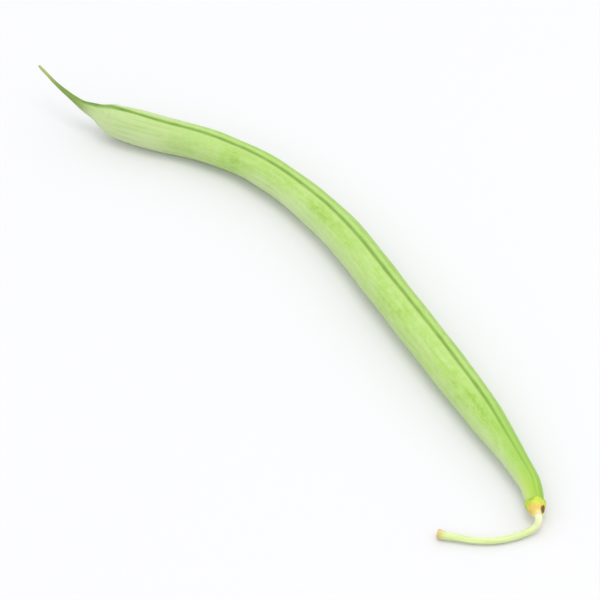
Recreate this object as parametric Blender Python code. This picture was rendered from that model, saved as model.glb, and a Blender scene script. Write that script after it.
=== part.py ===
"""A green bean, as picked, lying on the ground plane z = 0.

The pod lies along X, with its thin curved tail at -X and its stem end at +X, and it bows
out towards +Y. It rests on three low spots round its weight. A small dried calyx caps the
stem end, and the thin stalk that the bean hung by curls back along the ground from there.

Every place and size below is in millimetres. A place along the pod is counted from the
root of the tail, and MIDDLE moves the whole bean over the origin.
"""

import math

import bmesh
import bpy
import numpy as np
from mathutils import Vector

MM = 0.001
MIDDLE = (65.4, 2.45)

# The pod is given at stations along it. Each one has its place along the pod, how far it
# bows out, how far its underside is off the ground, its thickness from seam to seam and
# from side to side, and how far its upper seam leans towards +Y, in degrees. Where the
# underside would sink below the ground, it is flat: these are the spots that it rests on.
# The last station is past the pod's end, and turns its neck towards the stalk.
POD_STATIONS = np.array([
    (-9.6, -3.4, 9.5, 0.5, 0.5, 4.0),
    (-4.8, -2.85, 7.5, 0.8, 0.75, 4.0),
    (0.0, -2.55, 6.25, 1.3, 1.2, 4.0),
    (3.0, -2.05, 4.75, 2.3, 1.9, 4.0),
    (5.9, -0.7, 3.4, 3.9, 3.1, 4.0),
    (9.2, 1.4, 1.0, 6.9, 5.7, 3.0),
    (14.0, 3.6, 0.1, 7.5, 6.6, 2.0),
    (20.0, 7.2, -0.13, 7.15, 6.65, 1.0),
    (28.0, 11.15, 0.1, 6.85, 6.5, 0.0),
    (34.5, 13.5, 0.25, 6.6, 6.3, 0.0),
    (42.0, 15.05, 0.33, 6.8, 6.4, 2.0),
    (52.0, 16.0, 0.1, 7.1, 6.6, 5.0),
    (62.0, 15.9, -0.13, 7.5, 7.0, 8.0),
    (72.0, 14.7, 0.05, 7.5, 7.0, 10.0),
    (84.0, 12.5, 0.3, 7.3, 6.9, 13.0),
    (97.0, 10.35, 0.1, 7.2, 6.8, 16.0),
    (108.0, 8.5, -0.13, 7.0, 6.6, 16.0),
    (116.0, 7.1, 0.0, 6.6, 6.3, 15.0),
    (122.0, 5.9, 0.45, 5.5, 5.3, 14.0),
    (128.5, 4.4, 0.8, 4.3, 4.2, 14.0),
    (133.0, 3.2, 0.8, 3.8, 3.7, 14.0),
    (135.6, 2.6, 0.95, 3.4, 3.3, 14.0),
    (136.6, 2.3, 1.1, 3.1, 3.0, 14.0),
    (140.6, -1.9, 1.1, 3.1, 3.0, 14.0),
])
ALONG, BOW, LIFT, DEPTH, BREADTH, LEAN = range(6)

TAIL_END = -9.6
BEAK_START = 1.5
BEAK_END = 15.0
NECK_START = 118.0
POD_END = 136.6
RING_STEPS = ((TAIL_END, BEAK_START, 9), (BEAK_START, BEAK_END, 15),
              (BEAK_END, NECK_START, 58), (NECK_START, POD_END, 14))
POD_SIDES = 30
SIDE_CROWDING = 0.62

# The bow is evened out over this much of the pod to either side.
BOW_EASE = 4.0

# The upper seam is a fine furrow between two low lips, and the lower seam is a low ridge.
LIP_HEIGHT = 0.13
LIP_ANGLE = 13.0
LIP_WIDTH = 6.0
FURROW_DEPTH = 0.16
FURROW_WIDTH = 5.0
RIDGE_HEIGHT = 0.12
RIDGE_WIDTH = 8.0

# The seeds swell the pod's two sides a little.
FIRST_SEED = 17.0
SEED_SPACING = 12.6
SEED_COUNT = 8
SEED_SWELL = 0.16
SEED_HALF_LENGTH = 4.4

# The root of the pod narrows inside the calyx.
ROOT_RADIUS = 1.0
ROOT_TIP_RADIUS = 0.94
ROOT_SHOULDER = 0.25
ROOT_LENGTH = 1.1

# The calyx is a small cup on the pod's axis. Its outline runs from the base out to a rim
# with five low teeth, and back down inside. Each point has its distance from the rim, its
# radius, and how far it follows the teeth.
CALYX_SIDES = 30
CALYX_TEETH = 5
TOOTH_LENGTH = 0.5
CALYX_LENGTH = 2.25
CALYX_OUTLINE = (
    (2.25, 0.7, 0.0),
    (1.95, 0.94, 0.0),
    (1.45, 1.18, 0.0),
    (0.8, 1.46, 0.0),
    (0.0, 1.66, 0.25),
    (0.0, 1.86, 1.0),
    (0.0, 1.62, 0.9),
    (0.35, 1.27, 0.0),
    (1.35, 1.22, 0.0),
)
JOINT_GAP = 0.25

# The stalk's route from the calyx, as places along, across and up, with its radius.
STALK_ROUTE = (
    (139.68, -0.75, 2.25, 0.57),
    (139.7, -1.4, 1.55, 0.55),
    (139.45, -2.45, 1.1, 0.54),
    (139.05, -3.65, 0.88, 0.54),
    (138.3, -5.4, 0.78, 0.54),
    (137.3, -7.28, 0.78, 0.54),
    (136.0, -8.95, 0.78, 0.54),
    (134.4, -10.55, 0.78, 0.54),
    (132.6, -11.95, 0.8, 0.56),
    (131.05, -13.1, 0.88, 0.66),
    (129.8, -13.9, 0.98, 0.8),
)
STALK_START_RADIUS = 0.62
STALK_START_LENGTH = 0.2
STALK_ROUND = 4
STALK_SMOOTH = 4

POD_GREEN = (0.42, 0.66, 0.19, 1.0)
CALYX_TAN = (0.74, 0.64, 0.22, 1.0)
STALK_GREEN = (0.70, 0.76, 0.38, 1.0)
POD_ROUGHNESS = 0.45
CALYX_ROUGHNESS = 0.8
STALK_ROUGHNESS = 0.6


def clear_scene():
    """Remove whatever the file holds before the bean is made."""
    for item in list(bpy.data.objects):
        bpy.data.objects.remove(item, do_unlink=True)


def make_material(name, color, roughness):
    """A plain material with the piece's own colour."""
    material = bpy.data.materials.new(name)
    material.use_nodes = True
    shader = material.node_tree.nodes["Principled BSDF"]
    shader.inputs["Base Color"].default_value = color
    shader.inputs["Roughness"].default_value = roughness
    shader.inputs["Metallic"].default_value = 0.0
    return material


def through(column, places):
    """Read a smooth curve through one column of the pod's stations, straight past its ends."""
    at = POD_STATIONS[:, ALONG]
    value = POD_STATIONS[:, column]
    inside = np.clip(places, at[0], at[-1])
    outside = places - inside
    slope = np.diff(value) / np.diff(at)
    turns = slope[:-1] * slope[1:] <= 0
    both = np.where(turns, 1.0, slope[:-1] + slope[1:])
    tangent = np.concatenate((
        slope[:1], np.where(turns, 0.0, 2 * slope[:-1] * slope[1:] / both), slope[-1:]))
    i = np.clip(np.searchsorted(at, inside) - 1, 0, len(at) - 2)
    step = at[i + 1] - at[i]
    t = (inside - at[i]) / step
    level = value[i] + (value[i + 1] - value[i]) * t * t * (3 - 2 * t)
    leaving = tangent[i] * step * t * (1 - t) ** 2
    arriving = tangent[i + 1] * step * t * t * (1 - t)
    beyond = outside * np.where(outside > 0, tangent[-1], tangent[0])
    return level + leaving - arriving + beyond


def ring_places():
    """Places of the pod's rings, closer together at its two ends."""
    stretches = [np.linspace(start, end, count, endpoint=False)
                 for start, end, count in RING_STEPS]
    return np.append(np.concatenate(stretches), POD_END)


def side_angles():
    """Angles round the pod from its upper seam, closer together at both seams."""
    turn = np.arange(POD_SIDES) / POD_SIDES
    return 2 * math.pi * turn - SIDE_CROWDING * np.sin(4 * math.pi * turn) / 2


def bump(distance, width):
    """A rounded bump, one high at no distance."""
    return np.exp(-(distance / width) ** 2)


def seam_relief(angles):
    """Height of the lips, the furrow and the ridge round the pod."""
    from_upper = np.degrees(np.minimum(angles, 2 * math.pi - angles))
    from_lower = 180.0 - from_upper
    lips = LIP_HEIGHT * bump(from_upper - LIP_ANGLE, LIP_WIDTH)
    furrow = FURROW_DEPTH * bump(from_upper, FURROW_WIDTH)
    ridge = RIDGE_HEIGHT * bump(from_lower, RIDGE_WIDTH)
    return lips - furrow + ridge


def seed_swell(place):
    """How far the seeds push out the pod's sides at one place."""
    seeds = FIRST_SEED + SEED_SPACING * np.arange(SEED_COUNT)
    return SEED_SWELL * bump(place - seeds, SEED_HALF_LENGTH).sum()


def centre_line(places):
    """Centres of the pod's sections, with their half sizes and leans."""
    half_depth = through(DEPTH, places) / 2
    half_breadth = through(BREADTH, places) / 2
    lean = np.radians(through(LEAN, places))
    reach_down = np.hypot(half_depth * np.cos(lean), half_breadth * np.sin(lean))
    bow = sum(through(BOW, places + shift) for shift in (-BOW_EASE, 0.0, BOW_EASE)) / 3
    centres = np.column_stack((places, bow, through(LIFT, places) + reach_down))
    return centres, half_depth, half_breadth, lean


def section_axes(centres, lean):
    """The direction to the upper seam, and the sideways one, at each section."""
    forward = np.gradient(centres, axis=0)
    forward /= np.linalg.norm(forward, axis=1, keepdims=True)
    side = np.cross((0.0, 0.0, 1.0), forward)
    side /= np.linalg.norm(side, axis=1, keepdims=True)
    above = np.cross(forward, side)
    seamward = above * np.cos(lean)[:, None] + side * np.sin(lean)[:, None]
    sideways = side * np.cos(lean)[:, None] - above * np.sin(lean)[:, None]
    return seamward, sideways, forward


def loft(rings):
    """Close a list of rings with as many points each into one solid."""
    mesh = bmesh.new()
    loops = [[mesh.verts.new(Vector(point) * MM) for point in ring] for ring in rings]
    for near, far in zip(loops, loops[1:]):
        for i in range(len(near)):
            j = (i + 1) % len(near)
            mesh.faces.new((near[i], near[j], far[j], far[i]))
    mesh.faces.new(reversed(loops[0]))
    mesh.faces.new(loops[-1])
    bmesh.ops.recalc_face_normals(mesh, faces=mesh.faces)
    return mesh


def to_ground(points):
    """Flatten what would sink below the ground, and set the bean over the origin."""
    points = np.array(points)
    points[:, 0] -= MIDDLE[0]
    points[:, 1] -= MIDDLE[1]
    points[:, 2] = np.maximum(points[:, 2], 0.0)
    return points


def pod_rings():
    """Sections of the pod from its tail to its root inside the calyx."""
    places = ring_places()
    centres, half_depth, half_breadth, lean = centre_line(places)
    seamward, sideways, forward = section_axes(centres, lean)
    angles = side_angles()
    relief = seam_relief(angles)
    rings = []
    for i, place in enumerate(places):
        fullness = half_depth[i] / half_depth.max()
        upward = (half_depth[i] + relief * fullness) * np.cos(angles)
        outward = (half_breadth[i] + seed_swell(place) * fullness) * np.sin(angles)
        ring = centres[i] + np.outer(upward, seamward[i]) + np.outer(outward, sideways[i])
        rings.append(to_ground(ring))
    for distance, radius in ((ROOT_SHOULDER, ROOT_RADIUS), (ROOT_LENGTH, ROOT_TIP_RADIUS)):
        round_ring = (centres[-1] + forward[-1] * distance
                      + radius * np.outer(np.cos(angles), seamward[-1])
                      + radius * np.outer(np.sin(angles), sideways[-1]))
        rings.append(to_ground(round_ring))
    return rings


def pod_end():
    """Where the pod's full neck ends, and the axes there."""
    centres, _, _, lean = centre_line(ring_places())
    seamward, sideways, forward = section_axes(centres, lean)
    return centres[-1], seamward[-1], sideways[-1], forward[-1]


def calyx_rings():
    """Sections of the calyx: out along the outside, round the rim, and back inside."""
    start, seamward, sideways, forward = pod_end()
    mouth = ROOT_SHOULDER + JOINT_GAP
    angles = 2 * math.pi * np.arange(CALYX_SIDES) / CALYX_SIDES
    tooth = (0.5 + 0.5 * np.cos(CALYX_TEETH * angles)) * TOOTH_LENGTH
    rings = []
    for distance, radius, toothed in CALYX_OUTLINE:
        along = mouth + distance - tooth * toothed
        ring = (start + np.outer(along, forward)
                + radius * np.outer(np.cos(angles), seamward)
                + radius * np.outer(np.sin(angles), sideways))
        rings.append(to_ground(ring))
    return rings


def stalk_route():
    """Points of the stalk with their radii, from just behind the calyx."""
    start, _, _, forward = pod_end()
    joint = start + forward * (ROOT_SHOULDER + JOINT_GAP + CALYX_LENGTH + JOINT_GAP)
    straight = joint + forward * STALK_START_LENGTH
    return ((*joint, STALK_START_RADIUS), (*straight, STALK_START_RADIUS), *STALK_ROUTE)


def place_piece(name, data, material, parent):
    """Put one piece in the scene, in the bean's collection."""
    data.materials.append(material)
    piece = bpy.data.objects.new(name, data)
    piece.parent = parent
    parent.users_collection[0].objects.link(piece)
    return piece


def lofted_piece(name, rings, material, parent):
    """Make one piece from its sections."""
    shape = loft(rings)
    data = bpy.data.meshes.new(name)
    shape.to_mesh(data)
    shape.free()
    data.shade_smooth()
    return place_piece(name, data, material, parent)


def make_stalk(material, parent):
    """Make the stalk as a round curve whose radius swells at both ends."""
    data = bpy.data.curves.new("stalk", "CURVE")
    data.dimensions = "3D"
    data.bevel_depth = MM
    data.bevel_resolution = STALK_ROUND
    data.use_fill_caps = True
    data.resolution_u = STALK_SMOOTH
    spline = data.splines.new("BEZIER")
    route = stalk_route()
    spline.bezier_points.add(len(route) - 1)
    for point, (along, across, up, radius) in zip(spline.bezier_points, route):
        point.co = Vector((along - MIDDLE[0], across - MIDDLE[1], up)) * MM
        point.radius = radius
        point.handle_left_type = "AUTO"
        point.handle_right_type = "AUTO"
    return place_piece("stalk", data, material, parent)


def make_bean():
    """Make the bean's three pieces under one empty."""
    clear_scene()
    collection = bpy.data.collections.new("green_bean")
    bpy.context.scene.collection.children.link(collection)
    bean = bpy.data.objects.new("green_bean", None)
    collection.objects.link(bean)
    pod_skin = make_material("pod_skin", POD_GREEN, POD_ROUGHNESS)
    dried_calyx = make_material("dried_calyx", CALYX_TAN, CALYX_ROUGHNESS)
    stalk_skin = make_material("stalk_skin", STALK_GREEN, STALK_ROUGHNESS)
    lofted_piece("pod", pod_rings(), pod_skin, bean)
    lofted_piece("calyx", calyx_rings(), dried_calyx, bean)
    make_stalk(stalk_skin, bean)


make_bean()
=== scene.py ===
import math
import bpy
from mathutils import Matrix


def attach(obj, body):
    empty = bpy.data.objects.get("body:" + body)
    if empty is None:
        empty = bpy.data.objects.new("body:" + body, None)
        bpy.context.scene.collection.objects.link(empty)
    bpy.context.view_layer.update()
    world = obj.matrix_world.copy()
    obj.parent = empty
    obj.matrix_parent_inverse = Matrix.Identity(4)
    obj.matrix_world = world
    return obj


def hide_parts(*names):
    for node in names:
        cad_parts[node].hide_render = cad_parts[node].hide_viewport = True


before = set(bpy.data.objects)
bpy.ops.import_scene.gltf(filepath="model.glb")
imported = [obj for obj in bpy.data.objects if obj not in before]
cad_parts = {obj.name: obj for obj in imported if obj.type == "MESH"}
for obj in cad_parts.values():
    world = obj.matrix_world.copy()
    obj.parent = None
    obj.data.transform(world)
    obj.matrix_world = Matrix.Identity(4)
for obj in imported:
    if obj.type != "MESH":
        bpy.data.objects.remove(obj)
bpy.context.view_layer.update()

# The looks of a green bean, as picked: the pod's skin with its seams, lips, streaks and
# seed swellings, the dried calyx at its stem end, and the thin stalk. Sizes and places
# are in millimetres and angles in degrees, in the same terms as the part: a place along
# the pod is counted from the root of the tail, and MIDDLE moves the whole bean over the
# origin.

from types import SimpleNamespace

import bpy
import numpy as np
from mathutils import Matrix, Vector, noise
from mathutils.geometry import interpolate_bezier

MM = 0.001
MIDDLE = np.array((65.4, 2.45, 0.0))
STRAIGHT_UP = (0.0, 0.0, 1.0)
FULL_TURN = 2 * math.pi

# Camera: it stands where the photograph was taken from and looks down at the bean.
CAMERA_DISTANCE = 380.3
CAMERA_TARGET = (9.02, -3.04, 4.0)
CAMERA_AZIMUTH = 60.45
CAMERA_ELEVATION = 46.47
CAMERA_ROLL = -9.99
CAMERA_LENS = 125.85
CAMERA_NEAREST = 10.0
SENSOR_WIDTH = 36.0

# Light and floor, in metres: a bright room, brightest overhead, and one large soft lamp
# above. The room brightens from dim to bright over ROOM_RANGE, which is how much a
# direction points to the bright side.
ROOM_COLOR = (0.98, 0.99, 1.0)
ROOM_DIM = 0.30
ROOM_BRIGHT = 1.25
ROOM_RANGE = (-0.9, 1.0)
BRIGHT_SIDE = (0.1, 0.1, 0.99)
KEY_POWER = 2.2
KEY_SIZE = 0.5
KEY_PLACE = (0.15, 0.1, 0.95)
FLOOR_HALF_SIZE = 3.0
FLOOR_COLOR = (0.735, 0.73, 0.74, 1.0)
FLOOR_ROUGHNESS = 0.6
FLOOR_SHINE = 0.1

# The pod's stations, as in the part: place along, bow, underside's height off the ground,
# thickness from seam to seam and from side to side, and lean of the upper seam.
POD_STATIONS = np.array([
    (-9.6, -3.4, 9.5, 0.5, 0.5, 4.0),
    (-4.8, -2.85, 7.5, 0.8, 0.75, 4.0),
    (0.0, -2.55, 6.25, 1.3, 1.2, 4.0),
    (3.0, -2.05, 4.75, 2.3, 1.9, 4.0),
    (5.9, -0.7, 3.4, 3.9, 3.1, 4.0),
    (9.2, 1.4, 1.0, 6.9, 5.7, 3.0),
    (14.0, 3.6, 0.1, 7.5, 6.6, 2.0),
    (20.0, 7.2, -0.13, 7.15, 6.65, 1.0),
    (28.0, 11.15, 0.1, 6.85, 6.5, 0.0),
    (34.5, 13.5, 0.25, 6.6, 6.3, 0.0),
    (42.0, 15.05, 0.33, 6.8, 6.4, 2.0),
    (52.0, 16.0, 0.1, 7.1, 6.6, 5.0),
    (62.0, 15.9, -0.13, 7.5, 7.0, 8.0),
    (72.0, 14.7, 0.05, 7.5, 7.0, 10.0),
    (84.0, 12.5, 0.3, 7.3, 6.9, 13.0),
    (97.0, 10.35, 0.1, 7.2, 6.8, 16.0),
    (108.0, 8.5, -0.13, 7.0, 6.6, 16.0),
    (116.0, 7.1, 0.0, 6.6, 6.3, 15.0),
    (122.0, 5.9, 0.45, 5.5, 5.3, 14.0),
    (128.5, 4.4, 0.8, 4.3, 4.2, 14.0),
    (133.0, 3.2, 0.8, 3.8, 3.7, 14.0),
    (135.6, 2.6, 0.95, 3.4, 3.3, 14.0),
    (136.6, 2.3, 1.1, 3.1, 3.0, 14.0),
    (140.6, -1.9, 1.1, 3.1, 3.0, 14.0),
])
ALONG, BOW, LIFT, DEPTH, BREADTH, LEAN = range(6)
TAIL_END = -9.6
BEAK_START = 1.5
BEAK_END = 15.0
NECK_START = 118.0
POD_END = 136.6

# How many rings each stretch of the pod has, and how its sides crowd towards the seams.
RING_STEPS = ((TAIL_END, BEAK_START, 44), (BEAK_START, BEAK_END, 64),
              (BEAK_END, NECK_START, 400), (NECK_START, POD_END, 80))
POD_SIDES = 132
SIDE_CROWDING = 0.5

# The bow is evened out over this much of the pod to either side.
BOW_EASE = 4.0

# Relief of the pod: two lips with a furrow between them at the upper seam, a ridge at the
# lower seam, and the sides pushed out over the seeds.
LOWER_SEAM = 180.0
LIP_HEIGHT = 0.13
LIP_ANGLE = 12.0
LIP_WIDTH = 5.5
FURROW_DEPTH = 0.17
FURROW_WIDTH = 4.2
RIDGE_HEIGHT = 0.12
RIDGE_WIDTH = 8.0
FIRST_SEED = 17.0
SEED_SPACING = 12.6
SEED_COUNT = 8
SEED_SWELL = 0.16
SEED_HALF_LENGTH = 4.4

# The root of the pod narrows inside the calyx.
ROOT_RADIUS = 1.0
ROOT_SHOULDER = 0.25
ROOT_LENGTH = 1.1

# Relief of the skins: its height, how long its waves are along and round the piece, and
# where its noise starts.
UNEVENNESS = (0.09, 8.0, 3.4, 3.1)
RIBS = (0.014, 14.0, 1.3, 11.7)
PEBBLES = (0.011, 1.0, 0.7, 27.3)
NECK_WRINKLES = (0.035, 0.55, 1.8, 5.9)
TAIL_SHRIVEL = (0.07, 2.2, 0.7, 8.3)
CALYX_WRINKLES = (0.07, 1.6, 0.55, 41.0)
STALK_WRINKLES = (0.035, 1.4, 0.5, 61.0)

# The places along the pod over which its own relief sets in or dies away.
BODY_RISE = (2.0, 12.0)
NECK_RISE = (126.0, 135.0)
TAIL_FALL = (0.0, 8.0)

# The side away from the camera, where the skin's colour carries painted shade, sets in over
# these sines of the angle round the pod.
FAR_SIDE_RISE = (0.05, 0.5)

# The calyx's outline, from its base over the rim and back down inside: the distance from
# the rim, the radius, and how far the point follows the teeth.
CALYX_OUTLINE = np.array([
    (2.25, 0.4, 0.0),
    (2.23, 0.7, 0.0),
    (1.95, 0.94, 0.0),
    (1.45, 1.18, 0.0),
    (0.8, 1.46, 0.0),
    (0.0, 1.66, 0.25),
    (0.0, 1.78, 1.0),
    (0.0, 1.66, 0.98),
    (0.15, 1.5, 0.2),
    (0.5, 1.27, 0.0),
    (1.4, 1.22, 0.0),
])
CALYX_SIDES = 110
CALYX_STEPS = 80
CALYX_LENGTH = 2.25
JOINT_GAP = 0.25

# The calyx's teeth, which two slow waves round the cup make longer and shorter. The
# first of these waves is turned by some radians.
CALYX_TEETH = 5
TOOTH_LENGTH = 0.5
TOOTH_SHARPNESS = 1.5
TWO_SIDED_WAVE = 0.22
TWO_SIDED_TURN = 0.6
THREE_SIDED_WAVE = 0.16

# The stretch of the outline's points that wrinkles: it sets in past the base and dies
# away inside the rim.
WRINKLE_RISE = (0.6, 2.2)
WRINKLE_FALL = (7.5, 9.0)

# The brown scar on the calyx: its place round the cup and from the rim, and its size.
SPOT_ANGLE = 47.0
SPOT_DISTANCE = 1.55
SPOT_WIDTH = 36.0
SPOT_LENGTH = 0.85

# The stalk's route from the calyx, as places along, across and up, with its radius. It
# starts sunk a little into the calyx, and its ribs twist by some radians to a millimetre.
STALK_ROUTE = (
    (139.68, -0.75, 2.25, 0.57),
    (139.7, -1.4, 1.55, 0.55),
    (139.45, -2.45, 1.1, 0.54),
    (139.05, -3.65, 0.88, 0.54),
    (138.3, -5.4, 0.78, 0.54),
    (137.3, -7.28, 0.78, 0.54),
    (136.0, -8.95, 0.78, 0.54),
    (134.4, -10.55, 0.78, 0.54),
    (132.6, -11.95, 0.8, 0.56),
    (131.05, -13.1, 0.88, 0.66),
    (129.8, -13.9, 0.98, 0.8),
)
STALK_SINK = 0.1
STALK_START_RADIUS = 0.62
STALK_START_LENGTH = 0.2
STALK_SIDES = 40
STALK_STEPS = 20
STALK_RIBS = 6
STALK_RIB_HEIGHT = 0.022
STALK_TWIST = 0.06

# The scar that closes the stalk's far end: each ring's share of the end's size, and how
# far out it is.
SCAR_RINGS = ((0.9, 0.12), (0.62, 0.14), (0.42, 0.02), (0.2, -0.02))
SCAR_STEP = 0.1


def curve_through(at, value, places):
    """Read a smooth curve through values, straight past its ends."""
    inside = np.clip(places, at[0], at[-1])
    outside = places - inside
    slope = np.diff(value) / np.diff(at)
    turns = slope[:-1] * slope[1:] <= 0
    both = np.where(turns, 1.0, slope[:-1] + slope[1:])
    tangent = np.concatenate((
        slope[:1], np.where(turns, 0.0, 2 * slope[:-1] * slope[1:] / both), slope[-1:]))
    i = np.clip(np.searchsorted(at, inside) - 1, 0, len(at) - 2)
    step = at[i + 1] - at[i]
    t = (inside - at[i]) / step
    level = value[i] + (value[i + 1] - value[i]) * t * t * (3 - 2 * t)
    leaving = tangent[i] * step * t * (1 - t) ** 2
    arriving = tangent[i + 1] * step * t * t * (1 - t)
    beyond = outside * np.where(outside > 0, tangent[-1], tangent[0])
    return level + leaving - arriving + beyond


def pod_curve(column, places):
    """Read one column of the pod's stations at the given places."""
    return curve_through(POD_STATIONS[:, ALONG], POD_STATIONS[:, column], places)


def bump(distance, width):
    """A rounded bump, one high at no distance."""
    return np.exp(-(distance / width) ** 2)


def ease(value, start, end):
    """A smooth rise from 0 at start to 1 at end."""
    t = np.clip((value - start) / (end - start), 0.0, 1.0)
    return t * t * (3 - 2 * t)


def unit(vectors):
    """Vectors of length one."""
    return vectors / np.linalg.norm(vectors, axis=-1, keepdims=True)


def run_length(line):
    """How far along a line each of its points is."""
    step = np.linalg.norm(np.diff(line, axis=0), axis=1)
    return np.concatenate(((0.0,), np.cumsum(step)))


def even_angles(sides):
    """Angles spread evenly round a piece."""
    return FULL_TURN * np.arange(sides) / sides


def straightened(length, upward, outward, angles):
    """A piece's own coordinates, as if it had been pulled straight."""
    across = upward * np.cos(angles)
    return np.stack((np.broadcast_to(length, across.shape), across,
                     outward * np.sin(angles)), axis=-1)


def sections(centres, upward, outward, angles, above, side):
    """Closed sections round their centres, reaching so far upward and outward."""
    return (centres + (upward * np.cos(angles))[..., None] * above
            + (outward * np.sin(angles))[..., None] * side)


def field(points, waves):
    """Smooth noise on straightened coordinates, as one row of the skins' relief says."""
    height, along, around, start = waves
    scaled = points / (along, around, around) + start
    flat = scaled.reshape(-1, 3)
    values = np.fromiter((noise.noise(Vector(point)) for point in flat), float, len(flat))
    return height * values.reshape(points.shape[:-1])


def ring_places():
    """Places of the pod's rings, closer together at its two ends."""
    stretches = [np.linspace(start, end, count, endpoint=False)
                 for start, end, count in RING_STEPS]
    return np.append(np.concatenate(stretches), POD_END)


def side_angles():
    """Angles round the pod from its upper seam, closer together at both seams."""
    even = even_angles(POD_SIDES)
    return even - SIDE_CROWDING * np.sin(2 * even) / 2


def from_upper_seam(angles):
    """Degrees from the upper seam, whichever way is nearer."""
    return np.degrees(np.minimum(angles, FULL_TURN - angles))


def seam_relief(angles):
    """Height of the lips, the furrow and the ridge round the pod."""
    from_upper = from_upper_seam(angles)
    lips = LIP_HEIGHT * bump(from_upper - LIP_ANGLE, LIP_WIDTH)
    furrow = FURROW_DEPTH * bump(from_upper, FURROW_WIDTH)
    ridge = RIDGE_HEIGHT * bump(LOWER_SEAM - from_upper, RIDGE_WIDTH)
    return lips - furrow + ridge


def seed_swell(places):
    """How far the seeds push out the pod's sides."""
    seeds = FIRST_SEED + SEED_SPACING * np.arange(SEED_COUNT)
    return SEED_SWELL * bump(places[:, None] - seeds, SEED_HALF_LENGTH).sum(axis=1)


def skin_relief(grown, places):
    """Unevenness, ribs and pebbles of the pod, with a wrinkled neck and a shrivelled tail."""
    body = field(grown, UNEVENNESS) + field(grown, RIBS) + field(grown, PEBBLES)
    neck = field(grown, NECK_WRINKLES)
    tail = field(grown, TAIL_SHRIVEL)
    return (body * ease(places, *BODY_RISE)[:, None]
            + neck * ease(places, *NECK_RISE)[:, None]
            + tail * (1 - ease(places, *TAIL_FALL))[:, None])


def centre_line(places):
    """Centres of the pod's sections, with their half sizes and leans."""
    half_depth = pod_curve(DEPTH, places) / 2
    half_breadth = pod_curve(BREADTH, places) / 2
    lean = np.radians(pod_curve(LEAN, places))
    reach_down = np.hypot(half_depth * np.cos(lean), half_breadth * np.sin(lean))
    bow = sum(pod_curve(BOW, places + shift) for shift in (-BOW_EASE, 0.0, BOW_EASE)) / 3
    centres = np.column_stack((places, bow, pod_curve(LIFT, places) + reach_down))
    return centres, half_depth, half_breadth, lean


def line_axes(line):
    """The directions above, beside and forward along a line."""
    forward = unit(np.gradient(line, axis=0))
    side = unit(np.cross(STRAIGHT_UP, forward))
    return np.cross(forward, side), side, forward


def section_axes(centres, lean):
    """The direction to the upper seam, the sideways one and the forward one."""
    above, side, forward = line_axes(centres)
    seamward = above * np.cos(lean)[:, None] + side * np.sin(lean)[:, None]
    sideways = side * np.cos(lean)[:, None] - above * np.sin(lean)[:, None]
    return seamward, sideways, forward


def pod_end():
    """Where the pod's full neck ends, and the axes there."""
    centres, _, _, lean = centre_line(ring_places())
    seamward, sideways, forward = section_axes(centres, lean)
    return centres[-1], seamward[-1], sideways[-1], forward[-1]


def lengthen(rings, values, more_rings):
    """Add rings to a piece's end, with its last values, and keep it all above the ground."""
    rings = np.concatenate((rings, np.array(more_rings)))
    rings[..., 2] = np.maximum(rings[..., 2], 0.0)
    repeated = np.repeat(values[-1:], len(more_rings), axis=0)
    return rings, np.concatenate((values, repeated))


def loft(name, rings, attributes):
    """Make one closed mesh from rings with as many points each, and its attributes."""
    count, sides = rings.shape[:2]
    points = (rings.reshape(-1, 3) - MIDDLE) * MM
    index = np.arange(count * sides).reshape(count, sides)
    onward = np.roll(index, -1, axis=1)
    quads = np.stack((index[:-1], onward[:-1], onward[1:], index[1:]), axis=-1).reshape(-1, 4)
    faces = quads.tolist() + [index[0, ::-1].tolist(), index[-1].tolist()]
    mesh = bpy.data.meshes.new(name)
    mesh.from_pydata(points.tolist(), [], faces)
    for label, values in attributes.items():
        values = np.asarray(values, dtype=np.float32)
        kind, slot = ("FLOAT_VECTOR", "vector") if values.ndim == 3 else ("FLOAT", "value")
        layer = mesh.attributes.new(label, kind, "POINT")
        layer.data.foreach_set(slot, values.reshape(-1))
    mesh.shade_smooth()
    mesh.validate()
    piece = bpy.data.objects.new(name, mesh)
    bpy.context.scene.collection.objects.link(piece)
    return piece


def make_pod():
    """The pod's fine surface, with straightened coordinates for its material."""
    places = ring_places()
    centres, half_depth, half_breadth, lean = centre_line(places)
    seamward, sideways, forward = section_axes(centres, lean)
    angles = side_angles()
    fullness = half_depth / half_depth.max()
    upward = half_depth[:, None] + seam_relief(angles) * fullness[:, None]
    outward = half_breadth + seed_swell(places) * fullness
    length = run_length(centres) + TAIL_END
    grown = straightened(length[:, None], half_depth[:, None], half_breadth[:, None], angles)
    skin = skin_relief(grown, places)
    rings = sections(centres[:, None], upward + skin, outward[:, None] + skin, angles,
                     seamward[:, None], sideways[:, None])
    root = [sections(centres[-1] + forward[-1] * distance, ROOT_RADIUS, ROOT_RADIUS, angles,
                     seamward[-1], sideways[-1])
            for distance in (ROOT_SHOULDER, ROOT_LENGTH)]
    rings, grown = lengthen(rings, grown, root)
    shape = rings.shape[:2]
    swell = np.outer(seed_swell(places) / SEED_SWELL, np.abs(np.sin(angles)))
    along = np.append(places, [POD_END] * len(root))
    return loft("bean_pod", rings, {
        "grown": grown,
        "along": np.broadcast_to(along[:, None], shape),
        "seam": np.broadcast_to(from_upper_seam(angles), shape),
        # The side away from the camera, where the skin's colour carries painted shade.
        "far_side": np.broadcast_to(ease(np.sin(angles), *FAR_SIDE_RISE), shape),
        "swell": np.pad(swell, ((0, len(root)), (0, 0))),
    })


def calyx_teeth(angles):
    """How far the rim's teeth reach round the calyx, no two alike."""
    uneven = (1 + TWO_SIDED_WAVE * np.cos(2 * angles + TWO_SIDED_TURN)
              + THREE_SIDED_WAVE * np.sin(3 * angles))
    rise = (0.5 + 0.5 * np.cos(CALYX_TEETH * angles)) ** TOOTH_SHARPNESS
    return rise * TOOTH_LENGTH * uneven


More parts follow.
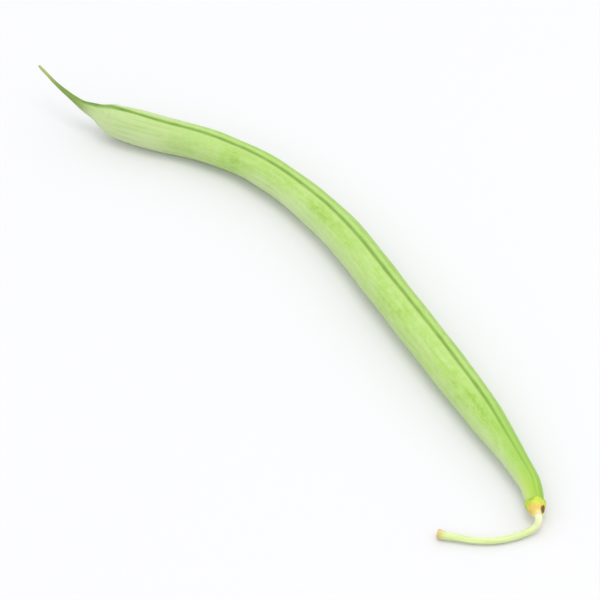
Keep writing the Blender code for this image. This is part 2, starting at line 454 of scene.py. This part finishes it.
def make_calyx():
    """The dried cup at the stem end, with its five shrivelled teeth."""
    start, seamward, sideways, forward = pod_end()
    mouth = ROOT_SHOULDER + JOINT_GAP
    angles = even_angles(CALYX_SIDES)
    tooth = calyx_teeth(angles)
    knots = np.arange(len(CALYX_OUTLINE), dtype=float)
    reads = np.linspace(0.0, knots[-1], CALYX_STEPS + 1)
    distance, radius, toothed = (curve_through(knots, column, reads)[:, None]
                                 for column in CALYX_OUTLINE.T)
    along = mouth + distance - tooth * toothed
    grown = straightened(along, radius, radius, angles)
    wrinkled = ease(reads, *WRINKLE_RISE) * (1 - ease(reads, *WRINKLE_FALL))
    radii = radius + field(grown, CALYX_WRINKLES) * wrinkled[:, None]
    rings = sections(start + along[..., None] * forward, radii, radii, angles,
                     seamward, sideways)
    down_spot = (along - mouth - SPOT_DISTANCE) / SPOT_LENGTH
    round_spot = (np.degrees(angles) - SPOT_ANGLE) / SPOT_WIDTH
    return loft("bean_calyx", rings, {
        "grown": grown,
        "reach": (along - mouth) / CALYX_LENGTH,
        "spot": bump(np.hypot(down_spot, round_spot), 1.0),
        "worn": tooth / TOOTH_LENGTH * toothed,
    })


def stalk_line():
    """A smooth line through the stalk's route, with its radius at each point."""
    start, _, _, forward = pod_end()
    joint = start + forward * (ROOT_SHOULDER + JOINT_GAP + CALYX_LENGTH - STALK_SINK)
    straight = joint + forward * (JOINT_GAP + STALK_START_LENGTH)
    first = ((*joint, STALK_START_RADIUS), (*straight, STALK_START_RADIUS))
    route = np.array((*first, *STALK_ROUTE))
    points = route[:, :3]
    lead = np.gradient(points, axis=0)
    line = [points[0]]
    for i in range(len(points) - 1):
        reach = np.linalg.norm(points[i + 1] - points[i]) / 3
        near = points[i] + unit(lead[i]) * reach
        far = points[i + 1] - unit(lead[i + 1]) * reach
        curve = interpolate_bezier(Vector(points[i]), Vector(near), Vector(far),
                                   Vector(points[i + 1]), STALK_STEPS + 1)
        line.extend(np.array(point) for point in curve[1:])
    knots = np.arange(len(route), dtype=float)
    radius = curve_through(knots, route[:, 3], np.linspace(0, knots[-1], len(line)))
    return np.array(line), radius


def make_stalk():
    """The thin stalk, faintly ribbed, with the knob where it came off the plant."""
    line, radius = stalk_line()
    above, side, forward = line_axes(line)
    angles = even_angles(STALK_SIDES)
    length = run_length(line)
    grown = straightened(length[:, None], radius[:, None], radius[:, None], angles)
    twist = angles + length[:, None] * STALK_TWIST
    radii = (radius[:, None] + STALK_RIB_HEIGHT * np.cos(STALK_RIBS * twist)
             + field(grown, STALK_WRINKLES))
    rings = sections(line[:, None], radii, radii, angles, above[:, None], side[:, None])
    scar = [line[-1] + forward[-1] * depth + share * (rings[-1] - line[-1])
            for share, depth in SCAR_RINGS]
    rings, grown = lengthen(rings, grown, scar)
    scar_length = length[-1] + SCAR_STEP * np.arange(1, len(scar) + 1)
    reach = np.append(length, scar_length) / length[-1]
    return loft("bean_stalk", rings, {
        "grown": grown,
        "reach": np.broadcast_to(reach[:, None], rings.shape[:2]),
    })


# The mix node's sockets for colours: the amount, the two colours and the result.
MIX_AMOUNT, MIX_FIRST, MIX_SECOND, MIX_RESULT = 0, 6, 7, 2


class Shader:
    """Adds nodes to one material in few words."""

    def __init__(self, name):
        self.material = bpy.data.materials.new(name)
        self.material.use_nodes = True
        self.tree = self.material.node_tree
        self.skin = self.tree.nodes["Principled BSDF"]

    def link(self, value, socket):
        """Join a value to a socket, or set it there."""
        if isinstance(value, bpy.types.NodeSocket):
            self.tree.links.new(value, socket)
        else:
            socket.default_value = value

    def attribute(self, name, output="Fac"):
        """Read an attribute of the mesh."""
        node = self.tree.nodes.new("ShaderNodeAttribute")
        node.attribute_name = name
        return node.outputs[output]

    def math(self, operation, first, second=0.0):
        """Work out one sum on numbers."""
        node = self.tree.nodes.new("ShaderNodeMath")
        node.operation = operation
        self.link(first, node.inputs[0])
        self.link(second, node.inputs[1])
        return node.outputs[0]

    def product(self, first, *others):
        """Multiply values."""
        result = first
        for other in others:
            result = self.math("MULTIPLY", result, other)
        return result

    def blend(self, values, shares):
        """Add up values, each times its share."""
        total = 0.0
        for value, share in zip(values, shares):
            total = self.math("ADD", self.product(value, share), total)
        return total

    def ease(self, value, start, end, low=0.0, high=1.0):
        """A smooth change from low at start to high at end."""
        node = self.tree.nodes.new("ShaderNodeMapRange")
        node.interpolation_type = "SMOOTHSTEP"
        for socket, number in zip(node.inputs, (value, start, end, low, high)):
            self.link(number, socket)
        return node.outputs[0]

    def scaled(self, place, along, around, start=0.0):
        """A place measured in waves or cells of the given length and width."""
        node = self.tree.nodes.new("ShaderNodeMapping")
        node.inputs["Location"].default_value = (start, start, start)
        node.inputs["Scale"].default_value = (1 / along, 1 / around, 1 / around)
        self.link(place, node.inputs["Vector"])
        return node.outputs[0]

    def noise(self, place, along, around, detail, start, roughness=0.5):
        """Noise whose waves are so long along and round the piece."""
        node = self.tree.nodes.new("ShaderNodeTexNoise")
        node.inputs["Scale"].default_value = 1.0
        node.inputs["Detail"].default_value = detail
        node.inputs["Roughness"].default_value = roughness
        self.link(self.scaled(place, along, around, start), node.inputs["Vector"])
        return node.outputs["Fac"]

    def dots(self, place, along, around, edge, core):
        """Small round dots, one to a cell, which fade out from their core to their edge."""
        node = self.tree.nodes.new("ShaderNodeTexVoronoi")
        node.inputs["Scale"].default_value = 1.0
        self.link(self.scaled(place, along, around), node.inputs["Vector"])
        return self.ease(node.outputs["Distance"], edge, core)

    def mix(self, amount, first, second):
        """Mix two colours."""
        node = self.tree.nodes.new("ShaderNodeMix")
        node.data_type = "RGBA"
        self.link(amount, node.inputs[MIX_AMOUNT])
        self.link(first, node.inputs[MIX_FIRST])
        self.link(second, node.inputs[MIX_SECOND])
        return node.outputs[MIX_RESULT]

    def relief(self, height, depth, strength):
        """Fine relief of the surface, so deep in millimetres where the height is one."""
        node = self.tree.nodes.new("ShaderNodeBump")
        node.inputs["Distance"].default_value = depth * MM
        node.inputs["Strength"].default_value = strength
        self.link(height, node.inputs["Height"])
        return node.outputs["Normal"]

    def finish(self, color, rough, normal, **constants):
        """Join the colour, roughness and relief, and set what is the same all over."""
        self.link(color, self.skin.inputs["Base Color"])
        self.link(rough, self.skin.inputs["Roughness"])
        self.link(normal, self.skin.inputs["Normal"])
        for name, value in constants.items():
            self.skin.inputs[name.replace("_", " ")].default_value = value
        return self.material


# Materials. A noise is given by the length of its waves along and round the piece, how
# many finer levels it has, where it starts and, where it isn't plain, its roughness. A
# change is given by the two values it runs between and, where they aren't 0 and 1, what
# it gives at each. The values are a noise's own, degrees from a seam where the name says
# ROUND, and places along the pod where it says ALONG. They run backwards where the
# change sets in towards the tail or the seam.
PALE_GREEN = (0.47, 0.64, 0.23, 1.0)
MID_GREEN = (0.39, 0.60, 0.13, 1.0)
DEEP_GREEN = (0.28, 0.48, 0.055, 1.0)
DUSTY_GREEN = (0.50, 0.59, 0.31, 1.0)
# Painted shade: a deeper green on the far side near the upper seam and on the neck's upper
# side.
PAINTED_SHADE_GREEN = (0.25, 0.47, 0.03, 1.0)
# Painted highlight: a pale green on the belly and on the neck's near side.
PAINTED_HIGHLIGHT_GREEN = (0.60, 0.72, 0.40, 1.0)
SEAM_GREEN = (0.12, 0.24, 0.03, 1.0)
LIP_GREEN = (0.47, 0.64, 0.20, 1.0)
TAIL_OLIVE = (0.15, 0.26, 0.02, 1.0)
TIP_TAN = (0.36, 0.40, 0.12, 1.0)
NECK_YELLOW = (0.50, 0.64, 0.10, 1.0)
RUSSET = (0.42, 0.34, 0.09, 1.0)

# The pod's ground of mottled green: the noises behind it, and the shares of the mottle,
# clouds, fibres, grain and seed swellings in its tone. The dots are given by the length
# and width of the cell that each one has, and by how far out their edge and core are, as
# shares of a cell.
MOTTLE = (7.0, 3.6, 3.0, 2.0)
CLOUDS = (1.7, 1.1, 3.0, 19.0)
FIBRES = (9.0, 0.5, 2.0, 7.0)
GRAIN = (0.55, 0.4, 2.0, 13.0)
TONE_SHARES = (0.36, 0.26, 0.16, 0.16, 0.06)
MID_TONES = (0.32, 0.47)
PALE_TONES = (0.43, 0.62)
DUSTY_ALONG = (36.0, 12.0, 0.0, 0.7)
DOT_CELLS = (0.62, 0.5, 0.3, 0.16)
DOT_SHARE = 0.4

# The pod's sides: a painted highlight on the belly, fainter at the waist, painted shade
# in a deeper green on the far side, and streaks and patches over all of it.
PAINTED_SHADE_ROUND = (115.0, 60.0)
BELLY_ROUND = (30.0, 90.0, 0.0, 0.6)
BELLY_ALONG = (84.0, 60.0, 0.3, 1.0)
WAIST = 30.0
FROM_WAIST = (6.0, 15.0, 0.1, 1.0)
SHADE_ALONG = (14.0, 42.0, 0.0, 0.8)
STREAKS = (12.0, 0.5, 3.0, 37.0)
STREAK_TONES = (0.46, 0.66, 0.0, 0.3)
PATCH_TONES = (0.5, 0.66, 0.0, 0.25)

# The pod's seams. The dark band and line in the furrow are partly the seam's own darker green
# and partly painted shade in the furrow. The dark line has a width in degrees that grows on the
# beak, and it is fully dark within LINE_CORE of that width.
SEAM_WOBBLE = (2.6, 1.2, 2.0, 23.0)
WOBBLE_DEGREES = 5.0
LIPS_ROUND = (26.0, 12.0, 0.0, 0.4)
BAND_ROUND = (15.0, 4.0, 0.0, 0.6)
LINE_WIDTH_ALONG = (15.0, 3.0, 7.5, 30.0)
LINE_CORE = 0.35
LINE_ALONG = (30.0, 12.0, 0.7, 0.9)
LINE_TONES = (0.4, 0.62, 1.0, 0.65)
LOWER_LINE_ROUND = (7.0, 3.0, 0.0, 0.55)

# The pod's rubbed spots, its neck with a painted highlight on its near side and painted shade
# on its upper and far side, and its tail.
RUBBED = (3.4, 1.6, 4.0, 31.0, 0.62)
RUBBED_TONES = (0.66, 0.74, 0.0, 0.35)
NECK_END_ALONG = (128.0, 137.5)
# The neck's yellow end is fainter on the far side, as part of its painted shade.
NECK_END_STRIP = (0.0, 1.0, 0.85, 0.35)
NECK_ALONG = (110.0, 128.0)
# Painted highlight on the neck's near side and painted shade on its upper side.
NECK_HIGHLIGHT_ROUND = (35.0, 95.0, 0.0, 0.5)
NECK_SHADE_ROUND = (60.0, 10.0, 0.0, 0.6)
TAIL_ALONG = (7.0, 0.5, 0.0, 0.9)
TIP_ALONG = (-2.5, -8.5)

# The shares of the fibres, grain, clouds and dots in the pod's fine relief, its depth and
# strength, and the roughness that its grain gives.
HEIGHT_SHARES = (0.3, 0.8, 0.5, 0.3)
POD_RELIEF = (0.06, 0.7)
POD_ROUGHNESS = (0.3, 0.7, 0.42, 0.58)


def pod_readings(shader):
    """What the pod's looks depend on: its attributes and its main noises."""
    grown = shader.attribute("grown", "Vector")
    seam = shader.attribute("seam")
    return SimpleNamespace(
        grown=grown,
        seam=seam,
        along=shader.attribute("along"),
        swell=shader.attribute("swell"),
        # Where the painted shade goes: the far side near the upper seam.
        painted_shade_strip=shader.product(shader.attribute("far_side"),
                                 shader.ease(seam, *PAINTED_SHADE_ROUND)),
        mottle=shader.noise(grown, *MOTTLE),
        clouds=shader.noise(grown, *CLOUDS),
        fibres=shader.noise(grown, *FIBRES),
        grain=shader.noise(grown, *GRAIN),
        dots=shader.dots(grown, *DOT_CELLS),
    )


def pod_ground(shader, pod):
    """Mottled green, dustier towards the beak, with fine pale dots."""
    tone = shader.blend((pod.mottle, pod.clouds, pod.fibres, pod.grain, pod.swell), TONE_SHARES)
    color = shader.mix(shader.ease(tone, *MID_TONES), DEEP_GREEN, MID_GREEN)
    color = shader.mix(shader.ease(tone, *PALE_TONES), color, PALE_GREEN)
    color = shader.mix(shader.ease(pod.along, *DUSTY_ALONG), color, DUSTY_GREEN)
    return shader.mix(shader.product(pod.dots, DOT_SHARE), color, LIP_GREEN)


def pod_sides(shader, pod, color):
    """Painted highlight on the belly, painted shade in deeper green on the far side, and
    streaks and patches.
    """
    # Painted highlight: the belly is paler, fainter at the waist.
    from_waist = shader.math("ABSOLUTE", shader.math("SUBTRACT", pod.along, WAIST))
    belly = shader.product(shader.ease(pod.seam, *BELLY_ROUND),
                           shader.ease(pod.along, *BELLY_ALONG),
                           shader.ease(from_waist, *FROM_WAIST))
    color = shader.mix(belly, color, PAINTED_HIGHLIGHT_GREEN)
    # Painted shade: a deeper green on the far side near the upper seam.
    shaded = shader.product(pod.painted_shade_strip, shader.ease(pod.along, *SHADE_ALONG))
    color = shader.mix(shaded, color, PAINTED_SHADE_GREEN)
    streaks = shader.noise(pod.grown, *STREAKS)
    color = shader.mix(shader.ease(streaks, *STREAK_TONES), color, DEEP_GREEN)
    return shader.mix(shader.ease(pod.clouds, *PATCH_TONES), color, LIP_GREEN)


def pod_seams(shader, pod, color):
    """Pale lips with a dark wobbly line and band between them, partly painted shade in the
    furrow, and a fainter line at the lower seam.
    """
    wobble = shader.product(shader.noise(pod.grown, *SEAM_WOBBLE), WOBBLE_DEGREES)
    from_upper = shader.math("SUBTRACT", shader.math("ADD", pod.seam, wobble),
                             WOBBLE_DEGREES / 2)
    from_lower = shader.math("SUBTRACT", LOWER_SEAM, from_upper)
    color = shader.mix(shader.ease(from_upper, *LIPS_ROUND), color, LIP_GREEN)
    # The dark band and line: partly the seam's own colour, partly painted shade in the furrow.
    color = shader.mix(shader.ease(from_upper, *BAND_ROUND), color, DEEP_GREEN)
    edge = shader.ease(pod.along, *LINE_WIDTH_ALONG)
    line = shader.product(shader.ease(from_upper, edge, shader.product(edge, LINE_CORE)),
                          shader.ease(pod.along, *LINE_ALONG),
                          shader.ease(pod.mottle, *LINE_TONES))
    color = shader.mix(line, color, SEAM_GREEN)
    return shader.mix(shader.ease(from_lower, *LOWER_LINE_ROUND), color, DEEP_GREEN)


def pod_ends(shader, pod, color):
    """A few rubbed spots, the yellower end of the neck, fainter in the painted shade, painted
    highlight and painted shade on the neck, and the olive tail.
    """
    rubbed = shader.noise(pod.grown, *RUBBED)
    color = shader.mix(shader.ease(rubbed, *RUBBED_TONES), color, RUSSET)
    # The neck's yellow end is fainter in the painted shade of the far side.
    neck_end = shader.product(shader.ease(pod.along, *NECK_END_ALONG),
                              shader.ease(pod.painted_shade_strip, *NECK_END_STRIP))
    color = shader.mix(neck_end, color, NECK_YELLOW)
    # Painted highlight on the neck's near side and painted shade on its upper side.
    neck = shader.ease(pod.along, *NECK_ALONG)
    near_side = shader.ease(pod.seam, *NECK_HIGHLIGHT_ROUND)
    color = shader.mix(shader.product(neck, near_side), color, PAINTED_HIGHLIGHT_GREEN)
    upper_side = shader.ease(pod.seam, *NECK_SHADE_ROUND)
    upper_side = shader.math("MAXIMUM", upper_side, pod.painted_shade_strip)
    color = shader.mix(shader.product(neck, upper_side), color, PAINTED_SHADE_GREEN)
    color = shader.mix(shader.ease(pod.along, *TAIL_ALONG), color, TAIL_OLIVE)
    return shader.mix(shader.ease(pod.along, *TIP_ALONG), color, TIP_TAN)


def pod_material():
    """Satin green skin, a little translucent, with a fine velvety sheen."""
    shader = Shader("pod_skin_looks")
    pod = pod_readings(shader)
    color = pod_ground(shader, pod)
    color = pod_sides(shader, pod, color)
    color = pod_seams(shader, pod, color)
    color = pod_ends(shader, pod, color)
    height = shader.blend((pod.fibres, pod.grain, pod.clouds, pod.dots), HEIGHT_SHARES)
    return shader.finish(
        color, shader.ease(pod.grain, *POD_ROUGHNESS), shader.relief(height, *POD_RELIEF),
        Specular_IOR_Level=0.42, Subsurface_Weight=0.22, Subsurface_Radius=(0.8, 1.0, 0.35),
        Subsurface_Scale=0.9 * MM, Sheen_Weight=0.12, Sheen_Roughness=0.45)


# The calyx's colours go by how far down from the rim a point is, as a share of the
# calyx's length. Its wear goes by how far out on a tooth the point is, and its scar by
# how near the spot's middle. The mottle makes all three uneven.
CALYX_GREEN = (0.54, 0.66, 0.075, 1.0)
CALYX_TAN = (0.78, 0.56, 0.13, 1.0)
CALYX_PALE = (0.88, 0.77, 0.50, 1.0)
CALYX_BROWN = (0.15, 0.11, 0.025, 1.0)
CALYX_MOTTLE = (0.9, 0.6, 3.0, 3.0)
CALYX_STRANDS = (1.8, 0.22, 2.0, 9.0)
DOWN_MOTTLE = 0.5
TAN_DOWN = (0.35, 0.75)
PALE_DOWN = (0.95, 1.35)
STRAND_TONES = (0.45, 0.7, 0.0, 0.16)
RIM_MOTTLE = 0.7
RIM_WEAR = (0.95, 1.4, 0.0, 0.4)
SPOT_MOTTLE = 0.5
SPOT_EDGE = (0.6, 0.95)
CALYX_RELIEF = (0.08, 0.8)
CALYX_ROUGHNESS = (0.3, 0.7, 0.7, 0.9)


def calyx_material():
    """Dried skin: yellow green at the rim, tan and paler to the base, with a brown scar."""
    shader = Shader("dried_calyx_looks")
    grown = shader.attribute("grown", "Vector")
    mottle = shader.noise(grown, *CALYX_MOTTLE)
    strands = shader.noise(grown, *CALYX_STRANDS)
    down = shader.math("ADD", shader.attribute("reach"), shader.product(mottle, DOWN_MOTTLE))
    rim = shader.math("ADD", shader.attribute("worn"), shader.product(mottle, RIM_MOTTLE))
    spot = shader.math("ADD", shader.attribute("spot"), shader.product(mottle, SPOT_MOTTLE))
    color = shader.mix(shader.ease(down, *TAN_DOWN), CALYX_GREEN, CALYX_TAN)
    color = shader.mix(shader.ease(down, *PALE_DOWN), color, CALYX_PALE)
    color = shader.mix(shader.ease(strands, *STRAND_TONES), color, CALYX_BROWN)
    color = shader.mix(shader.ease(rim, *RIM_WEAR), color, CALYX_BROWN)
    color = shader.mix(shader.ease(spot, *SPOT_EDGE), color, CALYX_BROWN)
    height = shader.math("ADD", mottle, strands)
    return shader.finish(
        color, shader.ease(mottle, *CALYX_ROUGHNESS), shader.relief(height, *CALYX_RELIEF),
        Specular_IOR_Level=0.25, Subsurface_Weight=0.1, Subsurface_Radius=(1.0, 0.6, 0.2),
        Subsurface_Scale=0.5 * MM)


# The stalk's colours go by how far along it a point is, as a share of its length.
STALK_PALE = (0.72, 0.80, 0.41, 1.0)
STALK_GREEN = (0.58, 0.70, 0.28, 1.0)
STALK_WHITE = (0.80, 0.82, 0.52, 1.0)
STALK_BROWN = (0.60, 0.43, 0.16, 1.0)
STALK_STRANDS = (5.0, 0.25, 3.0, 5.0)
STALK_SPECKS = (0.5, 0.3, 2.0, 17.0)
PALE_STRANDS = (0.35, 0.65)
WHITE_START = (0.22, 0.04, 0.0, 0.8)
KNOB_SPECKS = 0.08
KNOB_START = (0.95, 1.06)
STALK_RELIEF = (0.05, 0.6)
STALK_ROUGHNESS = (0.3, 0.7, 0.5, 0.7)


def stalk_material():
    """Pale yellow-green skin with long strands, whiter by the calyx and tan at the knob."""
    shader = Shader("stalk_skin_looks")
    grown = shader.attribute("grown", "Vector")
    reach = shader.attribute("reach")
    strands = shader.noise(grown, *STALK_STRANDS)
    specks = shader.noise(grown, *STALK_SPECKS)
    color = shader.mix(shader.ease(strands, *PALE_STRANDS), STALK_GREEN, STALK_PALE)
    color = shader.mix(shader.ease(reach, *WHITE_START), color, STALK_WHITE)
    knob = shader.math("ADD", reach, shader.product(specks, KNOB_SPECKS))
    color = shader.mix(shader.ease(knob, *KNOB_START), color, STALK_BROWN)
    height = shader.math("ADD", strands, specks)
    return shader.finish(
        color, shader.ease(specks, *STALK_ROUGHNESS), shader.relief(height, *STALK_RELIEF),
        Specular_IOR_Level=0.35, Subsurface_Weight=0.2, Subsurface_Radius=(1.0, 1.0, 0.4),
        Subsurface_Scale=0.5 * MM)


def dress(piece, node, material):
    """Let a piece stand for its node, in its own material."""
    piece.data.materials.append(material)
    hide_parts(node)
    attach(piece, "root")


def make_floor():
    """A plain pale floor."""
    half = FLOOR_HALF_SIZE
    mesh = bpy.data.meshes.new("floor")
    corners = [(-half, -half, 0), (half, -half, 0), (half, half, 0), (-half, half, 0)]
    mesh.from_pydata(corners, [], [(0, 1, 2, 3)])
    floor = bpy.data.objects.new("floor", mesh)
    bpy.context.scene.collection.objects.link(floor)
    material = bpy.data.materials.new("floor_white")
    material.use_nodes = True
    shader = material.node_tree.nodes["Principled BSDF"]
    shader.inputs["Base Color"].default_value = FLOOR_COLOR
    shader.inputs["Roughness"].default_value = FLOOR_ROUGHNESS
    shader.inputs["Specular IOR Level"].default_value = FLOOR_SHINE
    mesh.materials.append(material)


def make_room():
    """Soft light from the whole room, brightest overhead."""
    world = bpy.data.worlds.new("room")
    world.use_nodes = True
    tree = world.node_tree
    background = tree.nodes["Background"]
    background.inputs["Color"].default_value = (*ROOM_COLOR, 1.0)
    direction = tree.nodes.new("ShaderNodeTexCoord")
    facing = tree.nodes.new("ShaderNodeVectorMath")
    facing.operation = "DOT_PRODUCT"
    facing.inputs[1].default_value = BRIGHT_SIDE
    level = tree.nodes.new("ShaderNodeMapRange")
    level.interpolation_type = "SMOOTHSTEP"
    for socket, number in zip(level.inputs[1:], (*ROOM_RANGE, ROOM_DIM, ROOM_BRIGHT)):
        socket.default_value = number
    tree.links.new(direction.outputs["Generated"], facing.inputs[0])
    tree.links.new(facing.outputs["Value"], level.inputs[0])
    tree.links.new(level.outputs[0], background.inputs["Strength"])
    bpy.context.scene.world = world


def make_lamp():
    """One large soft lamp, aimed at the bean."""
    lamp = bpy.data.lights.new("soft_lamp", "AREA")
    lamp.shape = "DISK"
    lamp.size = KEY_SIZE
    lamp.energy = KEY_POWER
    holder = bpy.data.objects.new("soft_lamp", lamp)
    holder.location = KEY_PLACE
    holder.rotation_euler = Vector(KEY_PLACE).to_track_quat("Z", "Y").to_euler()
    bpy.context.scene.collection.objects.link(holder)


def make_camera():
    """The photograph's standpoint, aimed at the bean, with the photograph's tilt."""
    azimuth = math.radians(CAMERA_AZIMUTH)
    elevation = math.radians(CAMERA_ELEVATION)
    back = Vector((math.sin(azimuth) * math.cos(elevation),
                   -math.cos(azimuth) * math.cos(elevation), math.sin(elevation)))
    data = bpy.data.cameras.new("camera")
    data.lens = CAMERA_LENS
    data.sensor_width = SENSOR_WIDTH
    data.clip_start = CAMERA_NEAREST * MM
    camera = bpy.data.objects.new("camera", data)
    turn = back.to_track_quat("Z", "Y").to_matrix()
    roll = Matrix.Rotation(math.radians(CAMERA_ROLL), 3, "Z")
    camera.matrix_world = (turn @ roll).to_4x4()
    camera.location = Vector(CAMERA_TARGET) * MM + back * CAMERA_DISTANCE * MM
    bpy.context.scene.collection.objects.link(camera)
    bpy.context.scene.camera = camera


bpy.context.scene.view_settings.view_transform = "Standard"
make_camera()
make_room()
make_lamp()
make_floor()
dress(make_pod(), "pod", pod_material())
dress(make_calyx(), "calyx", calyx_material())
dress(make_stalk(), "stalk", stalk_material())
